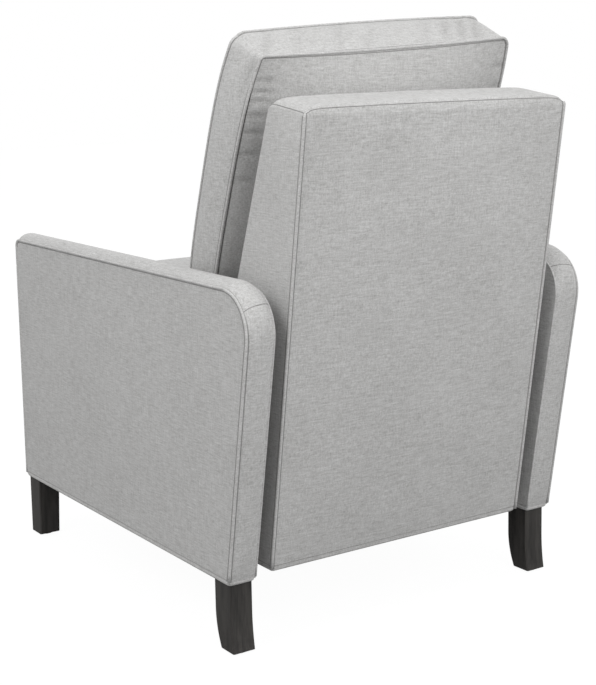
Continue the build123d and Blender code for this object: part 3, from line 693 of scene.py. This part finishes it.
# Painted shade: a thin dark cord round the cover just above the rolled hem.
hem_seam_shade_path = hem_loop(-back_half, back_half, from_front(0.7597), from_front(0.8145),
               back_hem_height + 2 * hem_radius, radius=0.002)
piping("back_hem_seam_shade", [hem_seam_shade_path], "back", radius=seam_radius, finish=seam_shade, closed=True)
print("back piping points", [len(line) for line in welts])

# %% [markdown]
# A box cushion starts as a cube that is cut into a grid. Each of its points is then placed by
# three shares from -1 to 1: how far it lies across, up and through the cushion. The border
# follows the sewn edges, which are drawn in towards the corners, and both panels rise to a
# crown. Another function says how firmly the seams hold each point in the cloth simulation.

# %% A cushion from a divided cube
at_face = 0.999


def divided_cube(cuts):
    """Cube from -1 to 1 with its edges along X, Y and Z cut as often as asked."""
    mesh = bmesh.new()
    bmesh.ops.create_cube(mesh, size=2)
    for axis, count in enumerate(cuts):
        along = [edge for edge in mesh.edges
                 if abs(edge.verts[0].co[axis] - edge.verts[1].co[axis]) > 0.001]
        bmesh.ops.subdivide_edges(mesh, edges=along, cuts=count, use_grid_fill=True)
    return mesh


def place_points(mesh, shape, hold):
    """Moves each point of a cube to its place, and lists the shares and the held points."""
    shares = [tuple(point.co) for point in mesh.verts]
    weights = {index: hold(*share) for index, share in enumerate(shares) if hold(*share) > 0}
    for point, share in zip(mesh.verts, shares):
        point.co = shape(*share)
    return shares, weights


def round_a_square(steps):
    """Pairs of shares round a square, with the same steps along each of its sides."""
    square = [(step, -1) for step in steps] + [(1, step) for step in steps]
    return square + [(-step, 1) for step in steps] + [(-1, -step) for step in steps]


print("cushion helpers ready")

# %% [markdown]
# The back cushion leans with the front of the back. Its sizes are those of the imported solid:
# the rear and front edges of its border, how far its panels rise, and how much it narrows
# towards its top and its foot. A loose cushion never sits square: this one leans a little to
# the chair's left, and its top is lower on that side.

# %% Shape of the back cushion
cushion_lean = math.radians(20.3)
cushion_up = Vector((0, math.sin(cushion_lean), math.cos(cushion_lean)))
cushion_out = Vector((0, -math.cos(cushion_lean), math.sin(cushion_lean)))
cushion_root = Vector((0, from_front(0.658), 0.430))
cushion_foot, cushion_top = 0.0695, 0.587
cushion_half = 0.272
border_rear, border_front = 0.068, 0.150
end_narrowing = 0.014
slide_to_left, slump_to_left = 0.010, 0.013


def back_cushion_point(u, v, w):
    """Place of a point: u across, v from rear to front, w from foot to top."""
    share = (w + 1) / 2
    fullness = 1 - (2 * share - 1) ** 4
    rear = border_rear - 0.017 * share ** 2
    front = border_front - 0.011 * share ** 4
    half_width = cushion_half - end_narrowing * (1 - fullness)
    half_length = (cushion_top - cushion_foot) / 2
    corner = 0.013 + 0.007 * v + 0.010 * (u < 0 < w) * (1 - v) / 2
    across, along = round_corner(u * half_width, w * half_length, half_width, half_length, corner)
    rise = 1 - u ** 2
    back_face = rear - (0.010 + (rear - 0.0135) * fullness) * rise * 0.97
    front_face = front + (0.010 + 0.022 * fullness) * rise
    through = back_face + (front_face - back_face) * (v + 1) / 2
    bulge = 0.008 * (1 - v ** 2) * min(1, abs(u) ** 6) * (1 - share ** 8)
    across += math.copysign(bulge, u)
    along += cushion_foot + half_length
    along += 0.006 * (1 - v ** 2) * rise * max(w, 0) ** 6
    along += (0.004 - slump_to_left * u + 0.004 * v) * share ** 2
    across += slide_to_left * share
    return cushion_root + cushion_up * along + cushion_out * through + Vector((across, 0, 0))


def back_cushion_hold(u, v, w):
    """The seams hold a point fully, and the upper corners mostly."""
    if max(abs(u), abs(w)) > at_face and abs(v) > at_face:
        return 1.0
    return 0.7 if abs(u) > 0.93 and w > 0.93 else 0.0


print("cushion foot at", tuple(round(value, 3) for value in back_cushion_point(0, -1, -1)))

# %% [markdown]
# Cloth simulation gives the case its natural fullness. The seams are pinned where the piping
# is sewn, and air pressure lifts the cloth between them. The further a point would move, the
# more it is held back, up to a cap, and the result is written back to the mesh.

# %% Let a cushion fill out
cloth_frames = 20
linen_cloth = {"quality": 5, "mass": 0.3, "tension_stiffness": 40, "compression_stiffness": 40,
               "shear_stiffness": 14, "bending_stiffness": 1.0, "air_damping": 2.0}


def fill_out(piece, pinned, pressure, cap):
    """Runs the cloth on a piece with its seams held, and keeps the capped result."""
    start = [point.co.copy() for point in piece.data.vertices]
    seams = piece.vertex_groups.new(name="seams")
    for index, weight in pinned.items():
        seams.add([index], weight, "REPLACE")
    cloth = piece.modifiers.new("fill", "CLOTH")
    for key, value in linen_cloth.items():
        setattr(cloth.settings, key, value)
    cloth.settings.use_pressure = True
    cloth.settings.uniform_pressure_force = pressure
    cloth.settings.vertex_group_mass = "seams"
    cloth.settings.effector_weights.gravity = 0
    cloth.point_cache.frame_start = 1
    cloth.point_cache.frame_end = cloth_frames
    for step in range(1, cloth_frames + 1):
        bpy.context.scene.frame_set(step)
    shaped = piece.evaluated_get(bpy.context.evaluated_depsgraph_get())
    moved = [point.co.copy() for point in shaped.data.vertices]
    piece.modifiers.remove(cloth)
    piece.vertex_groups.remove(seams)
    largest = 0.0
    for point, before, after in zip(piece.data.vertices, start, moved):
        move = after - before
        largest = max(largest, move.length)
        if move.length > 0.00001:
            move *= cap * math.tanh(move.length / cap) / move.length
        point.co = before + move
    bpy.context.scene.frame_set(1)
    return largest


def smooth_finish(piece):
    """One level of subdivision, the same in the view and in the render."""
    smoother = piece.modifiers.new("smooth", "SUBSURF")
    smoother.levels = smoother.render_levels = 1


print("cloth helper ready")

# %% [markdown]
# Where a panel is eased into its seam it gathers in small tucks, deepest a little way in from
# the piping. Across the top border of the cushion the cloth creases from seam to seam. Both
# are pressed into the filled cushion as narrow valleys. Where the rear panel meets the back,
# and the foot the seat, the cushion lies flat against them. The depth of each fold is kept as
# an attribute, and by it shade is painted into the linen, which is a little darker inside the fold.

# %% Tucks and creases of the back cushion
rear_tucks = [(1, 0.82, 0.0040), (1, 0.745, 0.0045), (1, 0.685, 0.0050), (1, 0.58, 0.0032),
              (1, 0.46, 0.0034), (1, 0.31, 0.0028), (1, 0.12, 0.0024), (-1, 0.80, 0.0036),
              (-1, 0.66, 0.0034), (-1, 0.50, 0.0030), (-1, 0.25, 0.0024)]
front_tucks = [(1, 0.78, 0.0036), (1, 0.58, 0.0032), (1, 0.34, 0.0028), (-1, 0.84, 0.0036),
               (-1, 0.70, 0.0038), (-1, 0.48, 0.0030), (-1, 0.20, 0.0024)]
border_creases = [(-0.84, 0.0080), (-0.71, 0.0074), (-0.57, 0.0056), (-0.40, 0.0036),
                  (0.05, 0.0020), (0.30, 0.0026), (0.62, 0.0032), (0.86, 0.0045)]
tuck_reach, tuck_width = 0.20, 0.017
tuck_peak = 27 / 4
crease_width, crease_slant = 0.030, 0.12


def bell(*offsets):
    """1 in the middle of a fold, and less with each offset, which is given in widths."""
    return math.exp(-sum(offset ** 2 for offset in offsets))


def tuck_depth(u, v, w):
    """How deep the cloth is pressed in at a point of the back cushion."""
    depth = 0.0
    if abs(v) > at_face:
        for side, place, deepest in front_tucks if v > 0 else rear_tucks:
            inside = (1 - side * u) / tuck_reach
            if 0 < inside < 1:
                profile = inside * (1 - inside) ** 2
                depth += deepest * tuck_peak * profile * bell((w - place) / tuck_width)
        if v < 0:
            depth += 0.0026 * bell((u - 0.885) / 0.025, (w - 0.74) / 0.15)
    elif u > at_face:
        depth += 0.0045 * bell((v + 0.66) / 0.16, (w - 0.84) / 0.12)
    elif w > at_face:
        for place, deepest in border_creases:
            depth += deepest * (1 - v ** 2) * bell((u - place + crease_slant * v) / crease_width)
    return depth


print("tucks", len(rear_tucks) + len(front_tucks), "creases", len(border_creases))

# %% [markdown]
# The case is a fine grid, so that every fold has points that can follow it. It is filled out
# first, and then the folds are pressed in. A point that would enter the back or the seat is
# moved out again.

# %% Back cushion
# Fold depth at which the painted shade in the linen is darkest.
full_painted_shade_depth = 0.004
back_clearance = 0.0006
foot_sink = 0.004


def into_cushion(u, v, w):
    """Direction into the cushion from a point of its case."""
    if abs(v) > at_face:
        return cushion_out * -v
    return Vector((-u, 0, 0)) if abs(u) > at_face else -cushion_up


mesh = divided_cube((56, 10, 92))
grid_shares, weights = place_points(mesh, back_cushion_point, back_cushion_hold)
back_cushion = finish_piece("back_cushion_case", mesh, "back", cover_linen, smooth_angle=180)
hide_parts("back_cushion")
print("cushion moved", round(fill_out(back_cushion, weights, 6.0, 0.012), 4))
# Painted shade: the depth of each fold is kept as an attribute that darkens the linen there.
painted_fold_shades = back_cushion.data.attributes.new("painted_fold_shade", "FLOAT", "POINT")
for point, painted_fold_shade, share in zip(back_cushion.data.vertices, painted_fold_shades.data, grid_shares):
    depth = tuck_depth(*share)
    painted_fold_shade.value = min(1, depth / full_painted_shade_depth)
    point.co += into_cushion(*share) * depth
    reach = point.co - cushion_root
    point.co += cushion_out * max(0, back_clearance - reach.dot(cushion_out))
    point.co += cushion_up * max(0, cushion_foot - foot_sink - reach.dot(cushion_up))
smooth_finish(back_cushion)

# %% [markdown]
# The piping runs round the rear and the front edge of the border. Its points come from the
# same formula as the cushion, so both stay together. A line of seam shade, painted as a thin
# dark cord, lies on either side of each row, laid on the smoothed surface. On the chair's left
# the rear panel is drawn in hard beside its piping, and a darker cord paints the shadow in that
# crevice.

# %% Piping of the back cushion
seam_steps = 60


def cushion_seam(v, size=1.0):
    """Closed line of points round the back cushion; a size below 1 lies inside its panel."""
    steps = [math.sin(math.pi * (place / seam_steps - 0.5)) for place in range(seam_steps)]
    return [back_cushion_point(size * u, v, size * w) for u, w in round_a_square(steps)]


cushion_welts = [cushion_seam(-1), cushion_seam(1)]
piping("back_cushion_piping", cushion_welts, "back", radius=0.0025, closed=True)
smooth_cushion = back_cushion.evaluated_get(bpy.context.evaluated_depsgraph_get())
# Painted shade: thin dark cords beside each row of piping.
threads_and_seam_shade = [lay_on(smooth_cushion, cushion_seam(v)) for v in (-0.92, 0.92)]
threads_and_seam_shade += [lay_on(smooth_cushion, cushion_seam(v, 0.984)) for v in (-1, 1)]
piping("back_cushion_seam_shades", threads_and_seam_shade, "back", radius=seam_radius, finish=seam_shade, closed=True)
# Painted shadow: a darker cord in the crevice beside the rear piping on the chair's left.
crevice_shadow_line = [back_cushion_point(0.986, -1, -0.98 + 0.04 * step) for step in range(44)]
crevice_shadow_line = lay_on(smooth_cushion, crevice_shadow_line)
piping("back_cushion_crevice_shadow", [crevice_shadow_line], "back", radius=0.0008, finish=deep_shade)
print("seam points", len(cushion_seam(1)))

# %% [markdown]
# The seat cushion has a waterfall front: its top panel runs over a rolled edge and down to the
# foot, and a border closes each side between two rows of piping. It starts as a divided cube
# too. Its underside stays flat on the deck, and its rear stays low under the back cushion.

# %% Seat cushion
seat_low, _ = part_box("seat_cushion")
seat_half = 0.291
seat_front, seat_rear = from_front(-0.043), from_front(0.640)
seat_top_front, seat_top_rear = 0.540, 0.506
front_roll, foot_roll = 0.038, 0.010
seat_seam_steps = 40


def seat_cushion_point(u, v, w):
    """Place of a point of the seat cushion: u across, v from front to rear, w up."""
    half_depth = (seat_rear - seat_front) / 2
    top = seat_top_front + (seat_top_rear - seat_top_front) * (v + 1) / 2
    half_height = (top - seat_low.z) / 2
    depth, up = round_corner(v * half_depth, w * half_height, half_depth, half_height,
                             front_roll if w > 0 else foot_roll)
    soft = 1 - u * u
    up += 0.015 * soft * (1 - v ** 6) * max(0, w) ** 2
    depth -= 0.005 * soft * (1 - w * w) * (v < 0) * v * v
    across = u * seat_half + 0.005 * u ** 7 * (1 - w * w) * (1 - v ** 4)
    return Vector((across, seat_front + half_depth + depth, seat_low.z + half_height + up))


def seat_cushion_hold(u, v, w):
    """The foot, the rear under the back cushion and the side seams are held."""
    on_seam = abs(u) > at_face and max(abs(v), abs(w)) > at_face
    return 1.0 if w < -at_face or v > 0.55 or on_seam else 0.0


def seat_seam(u):
    """Closed line of points round one side of the seat cushion."""
    steps = [(2 * place / seat_seam_steps) - 1 for place in range(seat_seam_steps)]
    return [seat_cushion_point(u, v, w) for v, w in round_a_square(steps)]


mesh = divided_cube((40, 44, 10))
_, weights = place_points(mesh, seat_cushion_point, seat_cushion_hold)
seat_cushion = finish_piece("seat_cushion_case", mesh, "seat", cover_linen, smooth_angle=180)
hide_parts("seat_cushion")
print("seat cushion moved", round(fill_out(seat_cushion, weights, 3.0, 0.006), 4))
smooth_finish(seat_cushion)
piping("seat_cushion_piping", [seat_seam(1), seat_seam(-1)], "seat", closed=True)
print("seat cushion points", len(seat_cushion.data.vertices))

# %% [markdown]
# The nosing is the padded rail between the seat cushion and the footrest. It is a slab whose
# crown is nil, because the cloth is pulled tight over it.

# %% Seat nosing
nose_low, nose_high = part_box("seat_nosing")
nose_corners = [(nose_low.y, nose_low.z), (nose_low.y, nose_high.z),
                (nose_high.y, nose_high.z), (nose_high.y, nose_low.z)]
mesh = bmesh.new()
slab(mesh, nose_corners, [0.006, 0.006, 0, 0], nose_low.x, nose_high.x,
     lambda share, out, place: Vector(), rings=4)
nosing = finish_piece("seat_nosing_cover", mesh, "seat", cover_linen)
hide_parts("seat_nosing")
print("nosing from", round(nose_low.y, 3))

# %% [markdown]
# The footrest pad is a thin box cushion on a board. Its face swells from a flat border.

# %% Footrest pad
pad_low, pad_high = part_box("footrest_pad")
pad_half = (pad_high.x - pad_low.x) / 2 - 0.004
pad_middle = (pad_high.z + pad_low.z) / 2
pad_height = (pad_high.z - pad_low.z) / 2
pad_edge = pad_high.y - 0.030
pad_crown, pad_corner = 0.018, 0.020


def pad_point(u, v, w):
    """Place of a point of the footrest pad: u across, v from board to front, w up."""
    across, up = round_corner(u * pad_half, w * pad_height, pad_half, pad_height, pad_corner)
    crown = pad_crown * (1 - u ** 4) * (1 - w ** 4)
    depth = pad_high.y + (pad_edge - crown - pad_high.y) * (v + 1) / 2
    across += math.copysign(0.003 * (1 - v ** 2) * abs(u) ** 6, u)
    return Vector((across, depth, pad_middle + up))


def pad_hold(u, v, w):
    """The side on the board and the seam round the face are held."""
    on_seam = v > at_face and max(abs(u), abs(w)) > at_face
    return 1.0 if v < -0.5 or on_seam else 0.0


mesh = divided_cube((44, 5, 20))
_, weights = place_points(mesh, pad_point, pad_hold)
footrest_pad = finish_piece("footrest_pad_case", mesh, "footrest", cover_linen, smooth_angle=180)
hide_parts("footrest_pad")
print("pad moved", round(fill_out(footrest_pad, weights, 1.2, 0.003), 4))
smooth_finish(footrest_pad)

# %% [markdown]
# A pale floor and a soft, even light show the cloth as it is. The camera sees the floor glow
# almost white, while the light that the floor throws back at the chair is that of a grey one.

# %% Floor
floor_grey = 0.32
floor_glow, glow_share = 1.18, 0.82


def white_light(owner, kind, strength):
    """A white emission or background shader."""
    light = add_node(owner, kind, strength=strength)
    light.inputs["Color"].default_value = (1, 1, 1, 1)
    return light


def show_instead(owner, factor, plain, shown, end):
    """Mixes two shaders by a factor, and sends the result to the output."""
    mix = add_node(owner, "ShaderNodeMixShader")
    join(owner, factor, mix.inputs["Fac"])
    join(owner, plain.outputs[0], mix.inputs[1])
    join(owner, shown.outputs[0], mix.inputs[2])
    join(owner, mix.outputs[0], end.inputs["Surface"])


mesh = bmesh.new()
bmesh.ops.create_grid(mesh, x_segments=1, y_segments=1, size=12)
data = bpy.data.meshes.new("studio_floor")
mesh.to_mesh(data)
mesh.free()
floor = bpy.data.objects.new("studio_floor", data)
bpy.context.collection.objects.link(floor)
floor_paint = bpy.data.materials.new("studio_floor")
floor_paint.use_nodes = True
floor_paint.node_tree.nodes.clear()
matte = add_node(floor_paint, "ShaderNodeBsdfDiffuse")
matte.inputs["Color"].default_value = (floor_grey, floor_grey, floor_grey, 1)
glow = white_light(floor_paint, "ShaderNodeEmission", floor_glow)
eye = add_node(floor_paint, "ShaderNodeLightPath")
seen = blend_values(floor_paint, "MULTIPLY", eye.outputs["Is Camera Ray"], glow_share)
end = add_node(floor_paint, "ShaderNodeOutputMaterial")
show_instead(floor_paint, seen, matte, glow, end)
data.materials.append(floor_paint)
print("floor glow", floor_glow)

# %% [markdown]
# The world is white only for the camera and for reflections. The light that it gives is a
# weaker one, so nothing clips.

# %% World
world_strength = 0.65
world = bpy.data.worlds.new("studio")
bpy.context.scene.world = world
world.use_nodes = True
world.node_tree.nodes.clear()
eye = add_node(world, "ShaderNodeLightPath")
seen = blend_values(world, "MAXIMUM", eye.outputs["Is Camera Ray"], eye.outputs["Is Glossy Ray"])
seen = blend_values(world, "MAXIMUM", seen, eye.outputs["Is Transmission Ray"])
white = white_light(world, "ShaderNodeBackground", 1.0)
soft = white_light(world, "ShaderNodeBackground", world_strength)
end = add_node(world, "ShaderNodeOutputWorld")
show_instead(world, seen, soft, white, end)
print("world light", world_strength)

# %% [markdown]
# Four large lamps shape the chair. Two stand on the camera's side and light the rear and the
# chair's left, as in the photograph, and two weaker ones fill in the front and the right.

# %% Lamps


def soft_box(name, place, aim, size, power):
    """Square lamp that points at a place of the chair."""
    light = bpy.data.lights.new(name, "AREA")
    light.shape = "SQUARE"
    light.size = size
    light.energy = power
    lamp = bpy.data.objects.new(name, light)
    bpy.context.collection.objects.link(lamp)
    lamp.location = place
    lamp.visible_camera = False
    lamp.rotation_mode = "QUATERNION"
    lamp.rotation_quaternion = (Vector(aim) - Vector(place)).to_track_quat("-Z", "Y")


soft_box("rear_box", (0.0, 2.4, 1.8), (0, 0, 1.3), 1.6, 27)
soft_box("side_box", (2.4, 0.6, 2.6), (0, 0, 1.3), 1.6, 37)
soft_box("front_box", (-0.8, -3.0, 1.6), (0, 0, 0.5), 1.8, 22)
soft_box("right_box", (-3.0, 0.0, 1.6), (0, 0, 0.5), 1.8, 20)
print("lamps", len(bpy.data.lights))

# %% [markdown]
# The camera stands where the photograph was taken from: behind the chair's left rear corner,
# a little above the arms. The photograph was made with a lens that keeps upright edges
# parallel, so a small downward shift takes part of that, and the rest is a gentle tilt.

# %% Camera
camera_aim = Vector((-0.0386, 0, 0.5621))
camera_distance = 2.8735
camera_data = bpy.data.cameras.new("photo_camera")
camera_data.sensor_fit = "AUTO"
camera_data.sensor_width = 36
camera_data.lens = 77.364
camera_data.shift_y = -0.1
camera = bpy.data.objects.new("photo_camera", camera_data)
bpy.context.collection.objects.link(camera)
azimuth, elevation, roll = math.radians(146.105), math.radians(8.743), math.radians(-1.084)
away = Vector((math.sin(azimuth) * math.cos(elevation), -math.cos(azimuth) * math.cos(elevation),
               math.sin(elevation)))
flat = Vector((0, 0, 1)).cross(away).normalized()
upright = away.cross(flat)
side_axis = math.cos(roll) * flat + math.sin(roll) * upright
top_axis = -math.sin(roll) * flat + math.cos(roll) * upright
place = camera_aim + away * camera_distance
turn = Matrix((side_axis, top_axis, away)).transposed().to_4x4()
camera.matrix_world = Matrix.Translation(place) @ turn
bpy.context.scene.camera = camera
bpy.context.scene.view_settings.view_transform = "Standard"
print("camera at", tuple(round(value, 3) for value in place))
